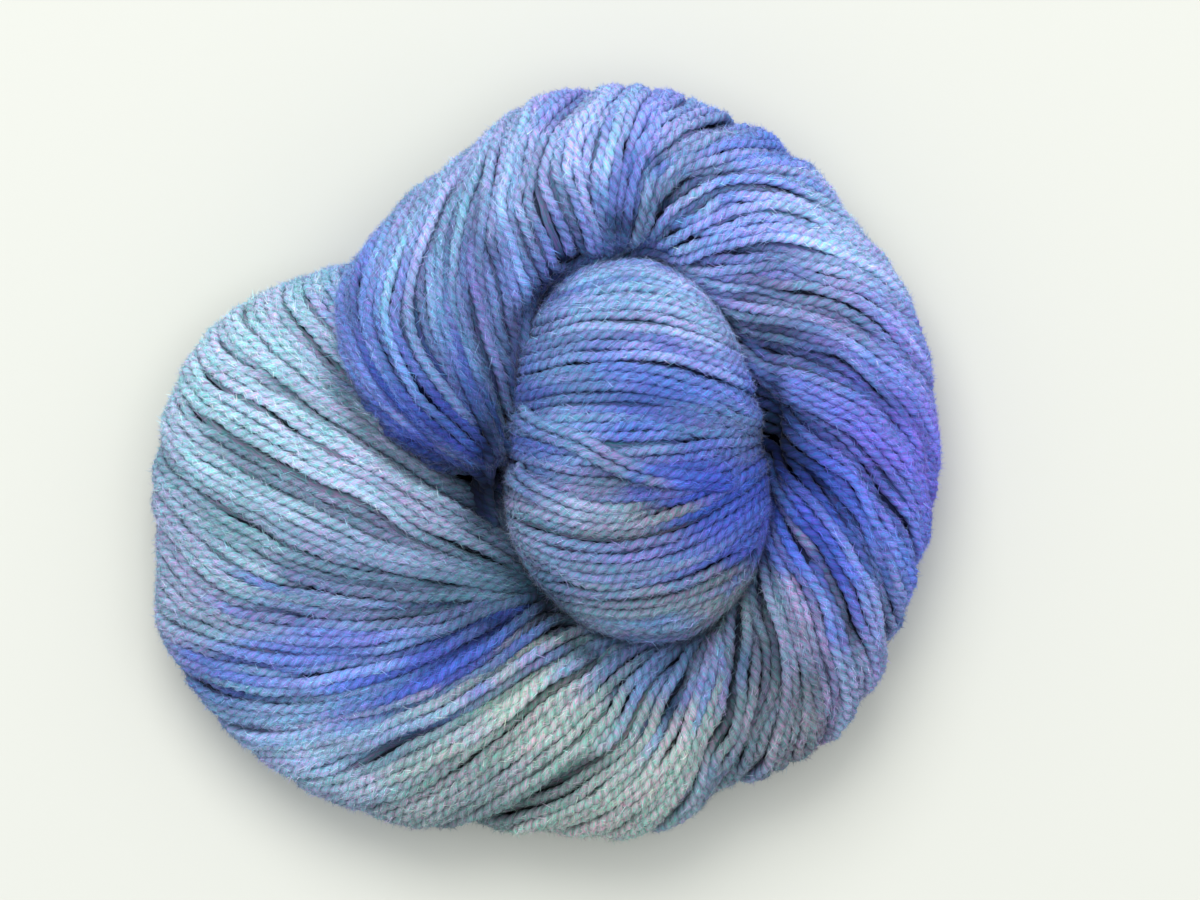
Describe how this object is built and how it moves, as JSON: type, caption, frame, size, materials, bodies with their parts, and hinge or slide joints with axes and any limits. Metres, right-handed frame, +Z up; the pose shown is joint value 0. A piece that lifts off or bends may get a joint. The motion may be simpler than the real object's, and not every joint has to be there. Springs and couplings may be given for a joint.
{
  "type": "skein of yarn",
  "caption": "Hank of hand-dyed two-ply yarn, twisted into one thick bundle and coiled flat, with its looped end pushed up through the middle as a bun.",
  "frame": {"origin": "middle of the bounding box in plan, at the flat spot that the skein lies on", "axes": "+Z up, through the bun, and the shortest way through the skein; +X to the right and +Y to the top of the skein as seen from above with the pale wide lobe at the left, and +X is the longest way"},
  "size_m": [0.149, 0.1424, 0.0474],
  "materials": {
    "dyed_wool": "soft matt two-ply wool, hand-dyed in blues, violet and pale teal grey"
  },
  "bodies": {
    "root": {"skein": "dyed_wool"}
  },
  "joints": []
}
